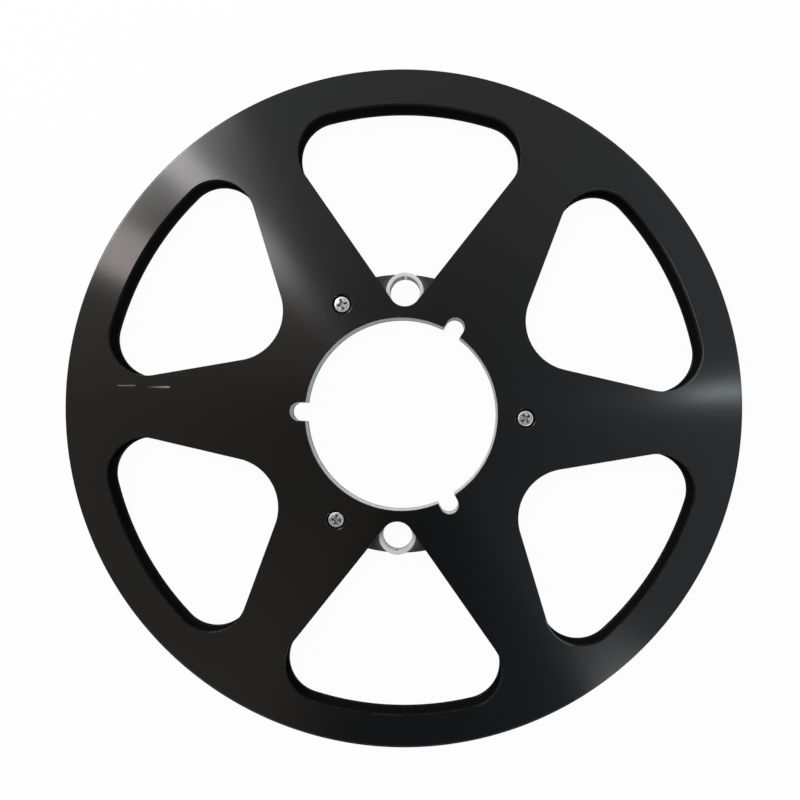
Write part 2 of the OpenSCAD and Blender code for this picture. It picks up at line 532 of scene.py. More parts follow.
@dataclass(frozen=True)
class ClearAnodised:
    """Clear anodised aluminium: satin, with fine turning marks, and with its barrel painted in a grey of
    its own: painted shade in the upper bush and painted light in the lower one.
    """

    name: str = "liner_aluminium"
    level: float = 0.68
    # grey of the barrel, which paints shade into the upper bush and light into the lower bush
    barrel_painted_light_and_shade_level: float = 0.68
    roughness: float = 0.6
    ring_uneven: float = 0.08
    cloud_uneven: float = 0.1
    metallic: float = 0.0
    specular: float = 0.15
    ring_pitch: float = 0.3 * MM
    ring_depth: float = 0.0015 * MM
    cloud_size: float = 9 * MM
    cloud_share: float = 0.16
    barrel_half: float = 3.5 * MM

    def material(self) -> bpy.types.Material:
        """Builds the material.

        Returns:
            The material.
        """
        made = bpy.data.materials.new(self.name)
        graph = Graph(made)
        place = graph.place()
        z = graph.split(place)[2]
        rings = graph.noise(graph.join(0.0, 0.0, z), self.ring_pitch, RING_DETAIL)
        cloud = graph.noise(place, self.cloud_size)
        # the barrel's own grey against the lips: painted shade in the upper bush, painted light in the
        # lower bush
        lip = abs(z - MIDDLE).ramp(self.barrel_half - ON_SURFACE, self.barrel_half + ON_SURFACE)
        shade = graph.blend(lip, grey(self.barrel_painted_light_and_shade_level), grey(self.level))
        graph.close("BsdfPrincipled", {
            "Base Color": graph.blend(cloud * self.cloud_share, shade, grey(0.0)),
            "Roughness": self.roughness + rings.spread(self.ring_uneven) + cloud.spread(self.cloud_uneven),
            "Metallic": self.metallic,
            "Specular IOR Level": self.specular,
            "Normal": graph.bump(rings, self.ring_depth),
        })
        return made


@dataclass(frozen=True)
class BrightScrew:
    """Bright plated steel of the screws, with painted shade on the walls of the recess and a painted
    reflection on its floor.
    """

    level: float = 0.8
    warmth: float = 0.01
    worn_level: float = 0.25
    worn_warmth: float = 0.02
    worn_patches: Point = (0.35, 0.65)
    # painted shade on the walls of the recess
    recess_painted_shade_level: float = 0.12
    roughness: float = 0.36
    uneven: float = 0.2
    metallic: float = 0.95
    grain_size: float = 0.6 * MM
    grain_depth: float = 0.05 * MM
    head_half: float = 5.7 * MM
    recess_start: float = 0.12 * MM
    recess_fade: float = 0.25 * MM
    # painted reflection on the floor of the recess
    floor_level: float = 0.42
    floor_depth: float = 1.1 * MM
    floor_fade: float = 0.45 * MM

    def material(self) -> bpy.types.Material:
        """Builds the material.

        Returns:
            The material.
        """
        made = bpy.data.materials.new("bright_screw")
        graph = Graph(made)
        place = graph.place()
        z = graph.split(place)[2]
        grain = graph.noise(place, self.grain_size)
        height = abs(z - MIDDLE)
        crown = self.head_half - self.recess_start
        top = height.ramp(crown - self.recess_fade, crown)
        flat = height.ramp(self.head_half - ON_SURFACE, self.head_half - ON_SURFACE / 2)
        worn, bright = grey(self.worn_level, self.worn_warmth), grey(self.level, self.warmth)
        colour = graph.blend(grain.ramp(*self.worn_patches), worn, bright)
        colour = graph.blend(flat, grey(self.level), colour)
        # painted shade down the recess walls, with a painted reflection on the recess floor
        floor = self.head_half - self.floor_depth
        walls = height.ramp(floor, floor + self.floor_fade)
        recess = graph.blend(walls, grey(self.floor_level), grey(self.recess_painted_shade_level))
        graph.close("BsdfPrincipled", {
            "Base Color": graph.blend(top, recess, colour),
            "Roughness": self.roughness + grain.spread(self.uneven),
            "Metallic": self.metallic,
            "Normal": graph.bump(grain, self.grain_depth),
        })
        return made


class Solid:
    """One mesh, worked on with the operators of edit mode."""

    def __init__(self, name: str) -> None:
        """Takes the active object, which an operator has just added.

        Args:
            name: Its new name.
        """
        self.piece = bpy.context.object
        self.piece.name = name
        self.piece.data.name = name

    @staticmethod
    def clear() -> None:
        """Leaves edit mode and deselects every object."""
        if bpy.context.object and bpy.context.object.mode != "OBJECT":
            bpy.ops.object.mode_set(mode="OBJECT")
        bpy.ops.object.select_all(action="DESELECT")

    @classmethod
    def cylinder(cls, name: str, foot: Place, radius: float, height: float, points: int) -> "Solid":
        """Adds an upright cylinder.

        Args:
            name: Its name.
            foot: Middle of its lower end.
            radius: Its radius.
            height: Its height.
            points: Points round it.

        Returns:
            The cylinder.
        """
        cls.clear()
        middle = Vector(foot) + Vector((0.0, 0.0, height / 2))
        bpy.ops.mesh.primitive_cylinder_add(vertices=points, radius=radius, depth=height, location=middle)
        made = cls(name)
        made.apply_place()
        return made

    @classmethod
    def bar(cls, name: str, middle: Place, size: Place, degrees: float = 0.0) -> "Solid":
        """Adds a bar.

        Args:
            name: Its name.
            middle: Its middle.
            size: Its length, width and height.
            degrees: Its turn about its upright axis.

        Returns:
            The bar.
        """
        cls.clear()
        turn = (0.0, 0.0, math.radians(degrees))
        bpy.ops.mesh.primitive_cube_add(size=1.0, location=middle, rotation=turn, scale=size)
        made = cls(name)
        made.apply_place()
        return made

    def choose(self) -> None:
        """Makes this the only selected and the active object."""
        self.clear()
        self.piece.select_set(True)
        bpy.context.view_layer.objects.active = self.piece

    def edit(self, kind: Pick = Pick.VERTICES, everything: bool = False) -> None:
        """Enters edit mode.

        Args:
            kind: What is selected there.
            everything: Whether all of it is selected, and not nothing.
        """
        self.choose()
        bpy.ops.object.mode_set(mode="EDIT")
        bpy.ops.mesh.select_mode(type=kind.value)
        bpy.ops.mesh.select_all(action="SELECT" if everything else "DESELECT")

    def done(self) -> None:
        """Leaves edit mode."""
        bpy.ops.object.mode_set(mode="OBJECT")

    def pick_vertices(self, wanted: Callable[[Vector], bool]) -> None:
        """Selects, in edit mode, the vertices at wanted places.

        Args:
            wanted: The test of a vertex's place.
        """
        self.edit(Pick.VERTICES)
        self.done()
        for vertex in self.piece.data.vertices:
            vertex.select = wanted(vertex.co)
        bpy.ops.object.mode_set(mode="EDIT")

    def pick_edges(self, wanted: Callable[[Vector], bool], sharper: float) -> None:
        """Selects, in edit mode, the sharp edges at wanted places.

        Args:
            wanted: The test of an edge's middle.
            sharper: Least turn of the faces at the edge, in degrees.

        Raises:
            ValueError: If there is no such edge.
        """
        self.edit(Pick.EDGES)
        bpy.ops.mesh.edges_select_sharp(sharpness=math.radians(sharper))
        self.done()
        mesh = self.piece.data
        found = 0
        for edge in mesh.edges:
            if edge.select:
                first, second = (mesh.vertices[i].co for i in edge.vertices)
                edge.select = wanted((first + second) / 2)
                found += edge.select
        if not found:
            raise ValueError(f"{self.piece.name} has no such edge")
        bpy.ops.object.mode_set(mode="EDIT")

    def break_edges(
        self, width: float, wanted: Callable[[Vector], bool], segments: int = 2, sharper: float = 60
    ) -> None:
        """Rounds sharp edges.

        Args:
            width: Width of the rounding.
            wanted: The test of an edge's middle.
            segments: Faces across the rounding.
            sharper: Least turn of the faces at the edge, in degrees.
        """
        self.pick_edges(wanted, sharper)
        bpy.ops.mesh.bevel(offset=width, segments=segments, profile=0.5, affect="EDGES", clamp_overlap=True)
        self.done()

    def cut(self, cutters: Iterable["Solid"]) -> None:
        """Cuts other solids out of this one, and removes them.

        Args:
            cutters: Solids of the spaces to cut.
        """
        for cutter in cutters:
            self.choose()
            tool = self.piece.modifiers.new("cut", "BOOLEAN")
            tool.operation, tool.solver, tool.object = "DIFFERENCE", "EXACT", cutter.piece
            bpy.ops.object.modifier_apply(modifier=tool.name)
            bpy.data.objects.remove(cutter.piece)
        self.tidy()

    def tidy(self) -> None:
        """Merges doubles, and turns every face outwards."""
        self.edit(Pick.VERTICES, everything=True)
        bpy.ops.mesh.remove_doubles(threshold=MERGE_DISTANCE)
        bpy.ops.mesh.select_all(action="SELECT")
        bpy.ops.mesh.normals_make_consistent(inside=False)
        self.done()

    def apply_place(self) -> None:
        """Moves the object's place, turn and scale into its mesh."""
        self.choose()
        bpy.ops.object.transform_apply(location=True, rotation=True, scale=True)

    def copy(self, name: str, place: Matrix) -> "Solid":
        """Copies the solid, with a mesh of its own, to another place.

        Args:
            name: The copy's name.
            place: The move from here to there.

        Returns:
            The copy.
        """
        self.choose()
        bpy.ops.object.duplicate(linked=False)
        made = Solid(name)
        made.piece.matrix_world = place
        made.apply_place()
        made.tidy()
        return made

    def dress(self, place: int, wanted: Callable[[Vector], bool]) -> None:
        """Gives the faces with wanted normals another of the solid's materials.

        Args:
            place: The material's place in its list.
            wanted: The test of a face's normal.
        """
        self.edit(Pick.FACES)
        self.done()
        for face in self.piece.data.polygons:
            face.select = wanted(face.normal)
        bpy.ops.object.mode_set(mode="EDIT")
        self.piece.active_material_index = place
        bpy.ops.object.material_slot_assign()
        self.done()

    def shade(self, softer: float = 35) -> None:
        """Shades the solid smooth across its gentle edges, with its large faces kept flat.

        Args:
            softer: Most turn of the faces at a smooth edge, in degrees.
        """
        self.choose()
        bpy.ops.object.shade_smooth_by_angle(angle=math.radians(softer))
        weigh = self.piece.modifiers.new("weigh", "WEIGHTED_NORMAL")
        weigh.mode, weigh.weight, weigh.keep_sharp = "FACE_AREA", FULL_WEIGHT, True
        bpy.ops.object.modifier_apply(modifier=weigh.name)


class Pen(Solid):
    """A solid that starts as lines and arcs, drawn in edit mode by extruding and spinning one vertex."""

    def __init__(self, name: str, arc_step: float = 2.0) -> None:
        """Starts an empty mesh.

        Args:
            name: Its name.
            arc_step: Most degrees from one point of an arc to the next.
        """
        self.clear()
        bpy.ops.mesh.primitive_plane_add(size=MM)
        super().__init__(name)
        self.arc_step = arc_step
        self.tip = Vector((0.0, 0.0, 0.0))
        self.edit(Pick.VERTICES, everything=True)
        bpy.ops.mesh.delete(type="VERT")

    def start(self, place: Place) -> None:
        """Puts the pen down: a tiny square is merged into one vertex.

        Args:
            place: Where it is put down.
        """
        bpy.ops.mesh.select_all(action="DESELECT")
        bpy.ops.mesh.primitive_plane_add(size=MM, location=place)
        bpy.ops.mesh.merge(type="CENTER")
        self.tip = Vector(place)

    def line(self, place: Place) -> None:
        """Draws a straight line.

        Args:
            place: Where the line ends.
        """
        way = Vector(place) - self.tip
        bpy.ops.mesh.extrude_region_move(TRANSFORM_OT_translate={"value": way})
        self.tip = Vector(place)

    def arc(self, centre: Point, degrees: float) -> None:
        """Draws a level arc.

        Args:
            centre: Its centre.
            degrees: How far it goes, anticlockwise from above.
        """
        steps = max(1, math.ceil(abs(degrees) / self.arc_step))
        middle = Vector((centre[0], centre[1], self.tip.z))
        turn = math.radians(degrees)
        bpy.ops.mesh.spin(steps=steps, angle=turn, center=middle, axis=(0.0, 0.0, -1.0))
        self.tip = middle + Matrix.Rotation(turn, 3, "Z") @ (self.tip - middle)

    def circle(self, place: Place, radius: float, points: int) -> None:
        """Draws a level circle."""
        bpy.ops.mesh.primitive_circle_add(vertices=points, radius=radius, location=place)

    def raise_up(self, thickness: float) -> None:
        """Fills the outlines, with the inner ones left open, and raises them into a solid.

        Args:
            thickness: How far they are raised.
        """
        bpy.ops.mesh.select_all(action="SELECT")
        bpy.ops.mesh.remove_doubles(threshold=MERGE_DISTANCE)
        bpy.ops.mesh.fill(use_beauty=True)
        bpy.ops.mesh.select_all(action="SELECT")
        bpy.ops.mesh.dissolve_limited(angle_limit=math.radians(FLAT_TURN))
        bpy.ops.mesh.select_all(action="SELECT")
        bpy.ops.mesh.extrude_region_move(TRANSFORM_OT_translate={"value": (0.0, 0.0, thickness)})
        self.done()
        self.tidy()

    def turn_round(self, points: int) -> None:
        """Turns the drawn profile round the upright axis through the origin into a solid.

        Args:
            points: Points round it.
        """
        bpy.ops.mesh.select_all(action="SELECT")
        bpy.ops.mesh.remove_doubles(threshold=MERGE_DISTANCE)
        bpy.ops.mesh.spin(steps=points, angle=math.tau, center=(0.0, 0.0, 0.0), axis=(0.0, 0.0, 1.0))
        self.done()
        self.tidy()


@dataclass
class Assembly:
    """What all sub-assemblies share: where things repeat, and how a finished piece is put on the reel."""

    thread_directions: tuple[float, ...] = (90.0, 270.0)
    plain_directions: tuple[float, ...] = (30.0, 150.0, 210.0, 330.0)
    notch_directions: tuple[float, ...] = (60.0, 180.0, 300.0)
    screw_directions: tuple[float, ...] = (0.0, 120.0, 240.0)

    def seat(
        self,
        solid: Solid,
        node: str,
        material: bpy.types.Material,
        slot: Slot,
        edge: bpy.types.Material | None = None,
        level: float = 0.0,
    ) -> None:
        """Gives a finished piece its finish and its place on the reel.

        Args:
            solid: The finished piece.
            node: The CAD node that it stands for.
            material: Its material.
            slot: Not used.
            edge: Another material for its steep faces.
            level: Least upright share of the normal of a face that isn't steep.
        """
        solid.shade()
        piece = solid.piece
        piece.data.materials.clear()
        piece.data.materials.append(material)
        if edge:
            piece.data.materials.append(edge)
            solid.dress(1, lambda normal: abs(normal.z) < level)
        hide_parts(node)
        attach(piece, "root")
        LOG.info("%s: %d faces", piece.name, len(piece.data.polygons))


@dataclass(frozen=True)
class Window:
    """A window of a flange: an outer arc, two corners, straight sides and a round inner end."""

    side: float
    tip_centre: float
    tip_radius: float
    outer_radius: float
    corner_radius: float = 15 * MM

    def draw(self, pen: Pen, direction: float, height: float) -> None:
        """Draws the window.

        Args:
            pen: The pen that draws it.
            direction: Direction of its middle line, in degrees.
            height: Height that it is drawn at.
        """
        reach = self.outer_radius - self.corner_radius
        offset = self.tip_radius - self.tip_centre * math.sin(math.radians(self.side)) - self.corner_radius
        corner = self.side + math.degrees(math.asin(offset / reach))
        tip = Vector(polar(self.tip_centre, direction))
        tip_start = tip + Vector(polar(self.tip_radius, direction + self.side + 90))
        last = Vector(polar(reach, direction - corner))
        last_start = last + Vector(polar(self.corner_radius, direction - self.side - 90))
        pen.start((*polar(self.outer_radius, direction - corner), height))
        pen.arc((0.0, 0.0), 2 * corner)
        pen.arc(polar(reach, direction + corner), self.side + 90 - corner)
        pen.line((*tip_start, height))
        pen.arc(tip, 180 - 2 * self.side)
        pen.line((*last_start, height))
        pen.arc(last, self.side + 90 - corner)


@dataclass(frozen=True)
class NotchedHole:
    """A circle with round-ended notches."""

    radius: float
    notch_radius: float
    notch_centre: float = 40.55 * MM

    def draw(self, pen: Pen, directions: tuple[float, ...], height: float) -> None:
        """Draws the circle with its notches.

        Args:
            pen: The pen that draws it.
            directions: Directions of the notches, evenly spaced, in degrees.
            height: Height that it is drawn at.
        """
        half = math.degrees(math.asin(self.notch_radius / self.radius))
        between = 360 / len(directions) - 2 * half
        pen.start((*polar(self.radius, directions[0] - half), height))
        for direction in directions:
            centre = Vector(polar(self.notch_centre, direction))
            pen.line((*(centre + Vector(polar(self.notch_radius, direction - 90))), height))
            pen.arc(centre, 180)
            pen.line((*polar(self.radius, direction + half), height))
            pen.arc((0.0, 0.0), between)


@dataclass
class Flanges(Assembly):
    """The two flanges: thin discs with six windows, a notched centre hole and three screw seats."""

    rim_width: float = 13.2 * MM
    thread_side: float = 36.7
    thread_tip_centre: float = 48.8 * MM
    thread_tip_radius: float = 6.4 * MM
    plain_side: float = 41.3
    plain_tip_centre: float = 77.65 * MM
    plain_tip_radius: float = 19.6 * MM
    hole: NotchedHole = NotchedHole(38.2 * MM, 3.75 * MM)
    seat_mouth: float = 3.9 * MM
    rim_break: float = 0.35 * MM
    rim_segments: int = 5
    edge_break: float = 0.14 * MM
    edge_segments: int = 3
    mouth_break: float = 0.26 * MM
    mouth_sharper: float = 30
    edge_level: float = 0.84
    rim_points: int = 360
    seat_points: int = 64

    def seats(self) -> list[Vector]:
        """Middles of the screw seats."""
        return [Vector(polar(SCREW_PITCH, direction)) for direction in self.screw_directions]

    def model(self, low: Vector, high: Vector) -> Solid:
        """Models the front flange.

        Args:
            low: Lowest corner of the node's box.
            high: Its highest corner.

        Returns:
            The front flange.
        """
        radius, outer, thickness = high.x, high.x - self.rim_width, high.z - low.z
        thread = Window(self.thread_side, self.thread_tip_centre, self.thread_tip_radius, outer)
        plain = Window(self.plain_side, self.plain_tip_centre, self.plain_tip_radius, outer)
        pen = Pen("front_flange_turned")
        pen.circle((0.0, 0.0, low.z), radius, self.rim_points)
        for direction in self.thread_directions:
            thread.draw(pen, direction, low.z)
        for direction in self.plain_directions:
            plain.draw(pen, direction, low.z)
        self.hole.draw(pen, self.notch_directions, low.z)
        for seat in self.seats():
            pen.circle((*seat, low.z), self.seat_mouth, self.seat_points)
        pen.raise_up(thickness)
        self.sink_seats(pen, low.z, thickness)
        self.break_rims(pen, radius, low.z, high.z)
        return pen

    def sink_seats(self, flange: Solid, floor: float, thickness: float) -> None:
        """Narrows each screw hole towards the inner face, at 45 degrees.

        Args:
            flange: The flange.
            floor: Height of its inner face.
            thickness: Its thickness.
        """
        share = 1 - thickness / self.seat_mouth
        for seat in self.seats():
            centre = Vector((*seat, floor))
            flange.pick_vertices(lambda place: (place - centre).length < self.seat_mouth + ON_SURFACE)
            bpy.ops.transform.resize(value=(share, share, 1.0), center_override=centre)
            flange.done()

    def break_rims(self, flange: Solid, radius: float, floor: float, top: float) -> None:
        """Rounds the edges of the rim, the windows and the centre hole.

        Args:
            flange: The flange.
            radius: Its outside radius.
            floor: Height of its inner face.
            top: Height of its outer face.
        """
        reach = self.seat_mouth + 2 * ON_SURFACE
        inside = radius - MM

        def at_seat(place: Vector) -> bool:
            """Whether a place is at a screw seat."""
            return any((place.xy - seat).length < reach for seat in self.seats())

        def on_face(place: Vector) -> bool:
            """Whether a place is on either face, away from the screw seats."""
            return min(abs(place.z - floor), abs(place.z - top)) < ON_SURFACE and not at_seat(place)

        flange.break_edges(self.rim_break, lambda place: place.xy.length > inside, self.rim_segments)
        flange.break_edges(
            self.edge_break, lambda place: on_face(place) and place.xy.length < inside, self.edge_segments
        )
        flange.break_edges(
            self.mouth_break,
            lambda place: at_seat(place) and place.z > top - ON_SURFACE,
            sharper=self.mouth_sharper,
        )
        flange.tidy()

    def build(self, material: bpy.types.Material, edge: bpy.types.Material) -> None:
        """Makes both flanges.

        Args:
            material: The finish of their faces.
            edge: The finish of their edges, and of the walls of their windows.
        """
        low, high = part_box("front_flange")
        front = self.model(low, high)
        back = front.copy("back_flange_turned", mirrored(high.z / 2))
        self.seat(front, "front_flange", material, Slot.BLACK, edge, self.edge_level)
        self.seat(back, "back_flange", material, Slot.BLACK, edge, self.edge_level)


@dataclass
class Hub(Assembly):
    """The hub core that the tape winds on."""

    pocket: NotchedHole = NotchedHole(40.05 * MM, 5.2 * MM)
    bush_pocket: float = 6.35 * MM
    lip_pocket: float = 7.65 * MM
    lip_depth: float = 0.8 * MM
    slot_width: float = 1.0 * MM
    screw_hole: float = 1.55 * MM
    rim_break: float = 0.3 * MM
    rim_segments: int = 3
    past: float = 1.0 * MM
    points: int = 240
    bush_points: int = 128
    screw_points: int = 32

    def cutters(self, low: float, high: float) -> list[Solid]:
        """Solids of the spaces that are cut from the hub.

        Args:
            low: Height of its lower face.
            high: Height of its upper face.

        Returns:
            The spaces of the bushes, their slots and the screws.
        """
        made = []
        start, whole = low - self.past, high - low + 2 * self.past
        lip = self.lip_depth + self.past
        reach = self.lip_pocket + self.past
        for direction in self.thread_directions:
            x, y = polar(BUSH_PITCH, direction)
            for name, bottom, radius, height in (
                ("bush_space", start, self.bush_pocket, whole),
                ("lip_space", start, self.lip_pocket, lip),
                ("lip_space", high - self.lip_depth, self.lip_pocket, lip),
            ):
                made.append(Solid.cylinder(name, (x, y, bottom), radius, height, self.bush_points))
            middle = (*polar(BUSH_PITCH + reach / 2, direction), (low + high) / 2)
            made.append(Solid.bar("slot_space", middle, (reach, self.slot_width, whole), direction))
        for direction in self.screw_directions:
            foot = (*polar(SCREW_PITCH, direction), start)
            made.append(Solid.cylinder("screw_space", foot, self.screw_hole, whole, self.screw_points))
        return made

    def build(self, material: bpy.types.Material) -> None:
        """Makes the hub core.

        Args:
            material: Its finish.
        """
        low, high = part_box("hub_core")
        radius = high.x
        pen = Pen("hub_core_turned")
        pen.circle((0.0, 0.0, low.z), radius, self.points)
        self.pocket.draw(pen, self.notch_directions, low.z)
        pen.raise_up(high.z - low.z)
        pen.break_edges(self.rim_break, lambda place: place.xy.length > radius - MM, self.rim_segments)
        pen.cut(self.cutters(low.z, high.z))
        self.seat(pen, "hub_core", material, Slot.GREY)


@dataclass
class Liner(Assembly):
    """The bright liner of the centre hole, with its three drive notches."""

    outside: NotchedHole = NotchedHole(40.0 * MM, 5.15 * MM)
    inside: NotchedHole = NotchedHole(38.1 * MM, 3.65 * MM)
    end_break: float = 0.2 * MM
    arc_step: float = 1.5

    def build(self, material: bpy.types.Material) -> None:
        """Makes the liner.

        Args:
            material: Its finish.
        """
        low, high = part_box("bore_liner")
        pen = Pen("bore_liner_turned", self.arc_step)
        self.outside.draw(pen, self.notch_directions, low.z)
        self.inside.draw(pen, self.notch_directions, low.z)
        pen.raise_up(high.z - low.z)
        middle = (self.outside.radius + self.inside.radius) / 2
        reach = (self.outside.notch_radius + self.inside.notch_radius) / 2
        pitch = self.inside.notch_centre
        notches = [Vector(polar(pitch, direction)) for direction in self.notch_directions]

        def at_inner_end(place: Vector) -> bool:
            """Tells whether an edge goes round an end of the hole.

            Args:
                place: The edge's middle.

            Returns:
                Whether it does.
            """
            level = min(abs(place.z - low.z), abs(place.z - high.z)) < ON_SURFACE
            notched = any((place.xy - notch).length < reach for notch in notches)
            return level and (notched or place.xy.length < middle)

        pen.break_edges(self.end_break, at_inner_end)
        pen.tidy()
        self.seat(pen, "bore_liner", material, Slot.BARE)


@dataclass
class Bushes(Assembly):
    """The four halves of the two threading bushes: thin barrels, each with a lip at its outer end."""

    bore: float = 5.95 * MM
    barrel: float = 6.3 * MM
    lip: float = 7.45 * MM
    lip_thickness: float = 0.8 * MM
    slot_width: float = 1.0 * MM
    edge_break: float = 0.09 * MM
    points: int = 128

    def model(self, middle: float, top: float) -> Solid:
        """Models a front half on the reel's axis, with its slot towards +X.

        Args:
            middle: Height at which the halves meet.
            top: Height of the lip's face.

        Returns:
            The half bush.
        """
        under = top - self.lip_thickness
        profile = [
            (self.bore, middle), (self.barrel, middle), (self.barrel, under),
            (self.lip, under), (self.lip, top), (self.bore, top),
        ]
        pen = Pen("half_bush")
        pen.start((self.bore, 0.0, middle))
        for radius, height in profile[1:] + profile[:1]:
            pen.line((radius, 0.0, height))
        pen.turn_round(self.points)

        def on_lip(place: Vector) -> bool:
            """Whether an edge is on the lip, but not in the corner under it."""
            return place.z > top - ON_SURFACE or place.xy.length > self.lip - ON_SURFACE

        pen.break_edges(self.edge_break, on_lip)
        height = under - middle + MM
        centre = (self.barrel, 0.0, under - height / 2)
        pen.cut([Solid.bar("slot_space", centre, (self.barrel, self.slot_width, height))])
        return pen

    def build(self, materials: tuple[bpy.types.Material, ...]) -> None:
        """Makes the four halves.

        Args:
            materials: The finish of each bush.
        """
        low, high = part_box("bush_1_front")
        model = self.model(low.z, high.z)
        for i, (direction, material) in enumerate(zip(self.thread_directions, materials), 1):
            place = turned(direction) @ Matrix.Translation((BUSH_PITCH, 0.0, 0.0))
            front = model.copy(f"bush_{i}_front_turned", place)
            back = model.copy(f"bush_{i}_back_turned", mirrored(low.z) @ place)
            self.seat(front, f"bush_{i}_front", material, Slot.BARE)
            self.seat(back, f"bush_{i}_back", material, Slot.BARE)
        bpy.data.objects.remove(model.piece)


@dataclass
class Screws(Assembly):
    """The six countersunk screws, with cross recesses."""

    head: float = 3.05 * MM
    head_land: float = 0.28 * MM
    crown_width: float = 0.5 * MM
    crown_drop: float = 0.09 * MM
    edge_width: float = 0.12 * MM
    edge_drop: float = 0.24 * MM
    shank: float = 1.5 * MM
    recess_length: float = 4.3 * MM
    recess_width: float = 0.95 * MM
    recess_depth: float = 1.2 * MM
    floor_share: Point = (0.42, 0.6)
    core_radius: float = 1.0 * MM
    core_points: int = 24
    front_turns: tuple[float, ...] = (38.0, 77.0, 24.0)
    back_turns: tuple[float, ...] = (12.0, 80.0, 51.0)
    points: int = 64

    def recess_arm(self, top: float, degrees: float) -> Solid:
        """One arm of the cross recess, with ends and sides that slope down to its floor.

        Args:
            top: Height of the head's top.
            degrees: Its turn.

        Returns:
            The space of the arm.
        """
        floor = Vector((0.0, 0.0, top - self.recess_depth))
        middle = floor.lerp(Vector((0.0, 0.0, top)), 0.5)
        arm = Solid.bar("recess_arm", middle, (self.recess_length, self.recess_width, self.recess_depth))
        along, across = self.floor_share
        self.narrow(arm, middle, (along, across, 1.0), floor)
        arm.piece.matrix_world = turned(degrees)
        arm.apply_place()
        return arm

    def recess_core(self, top: float) -> Solid:
        """The round space in the middle of the recess, narrower at its floor.

        Args:
            top: Height of the head's top.

        Returns:
            The space.
        """
        floor = Vector((0.0, 0.0, top - self.recess_depth))
        core = Solid.cylinder("recess_core", floor, self.core_radius, self.recess_depth, self.core_points)
        share = self.floor_share[1]
        self.narrow(core, floor.lerp(Vector((0.0, 0.0, top)), 0.5), (share, share, 1.0), floor)
        return core

    def narrow(self, space: Solid, middle: Vector, shares: Place, floor: Vector) -> None:
        """Narrows the floor of a space of the recess, and raises the space a little above the head.

        Args:
            space: The space.
            middle: Its middle.
            shares: What is left of its floor's sizes.
            floor: Middle of its floor.
        """
        space.pick_vertices(lambda place: place.z < middle.z)
        bpy.ops.transform.resize(value=shares, center_override=floor)
        bpy.ops.mesh.select_all(action="INVERT")
        bpy.ops.mesh.extrude_region_move(TRANSFORM_OT_translate={"value": (0.0, 0.0, MM)})
        space.done()
        space.tidy()

    def model(self, low: float, top: float) -> Solid:
        """Models a front screw on the reel's axis.

        Args:
            low: Height of its tip.
            top: Height of its head's top.

        Returns:
            The screw.
        """
        cone = self.head - self.shank
        profile = [
            (self.head - self.crown_width, top), (self.head - self.edge_width, top - self.crown_drop),
            (self.head, top - self.edge_drop), (self.head, top - self.head_land),
            (self.shank, top - self.head_land - cone),
            (self.shank, low), (0.0, low),
        ]
        pen = Pen("screw")
        pen.start((0.0, 0.0, top))
        for radius, height in profile:
            pen.line((radius, 0.0, height))
        pen.turn_round(self.points)
        pen.cut([self.recess_arm(top, 0.0), self.recess_arm(top, 90.0), self.recess_core(top)])
        return pen

    def build(self, material: bpy.types.Material) -> None:
        """Makes the six screws.

        Args:
            material: Their finish.
        """
        low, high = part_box("front_screw_1")
        middle = (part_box("back_flange")[0].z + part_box("front_flange")[1].z) / 2
        model = self.model(low.z, high.z)
        shift = Matrix.Translation((SCREW_PITCH, 0.0, 0.0))
        for i, direction in enumerate(self.screw_directions):
            front = turned(direction) @ shift @ turned(self.front_turns[i])
            back = mirrored(middle) @ turned(direction) @ shift @ turned(self.back_turns[i])
            for name, place in ((f"front_screw_{i + 1}", front), (f"back_screw_{i + 1}", back)):
                self.seat(model.copy(f"{name}_turned", place), name, material, Slot.SCREW)
        bpy.data.objects.remove(model.piece)


@dataclass(frozen=True)
class Lamp:
    """A soft box over the reel, at an azimuth and an inclination from upright."""

    name: str
    azimuth: float
    inclination: float
    width: float
    length: float
    radiance: float
    tint: Place = (1.0, 1.0, 1.0)
    lights_matt: bool = True
    lights_gloss: bool = True
    distance: float = 1.0

    def build(self) -> None:
        """Hangs the lamp."""
        lean, turn = math.radians(self.inclination), math.radians(self.azimuth + 90)
        place = Euler((lean, 0.0, turn)).to_matrix() @ Vector((0.0, 0.0, self.distance))
        bpy.ops.object.light_add(type="AREA", location=place, rotation=(lean, 0.0, turn))
        lamp = bpy.context.object
        lamp.name = self.name
        lamp.visible_camera = False
        lamp.visible_diffuse, lamp.visible_glossy = self.lights_matt, self.lights_gloss
        light = lamp.data
        light.shape, light.size, light.size_y = "RECTANGLE", self.width, self.length
        light.color = self.tint
        light.energy = self.radiance * math.pi * self.width * self.length


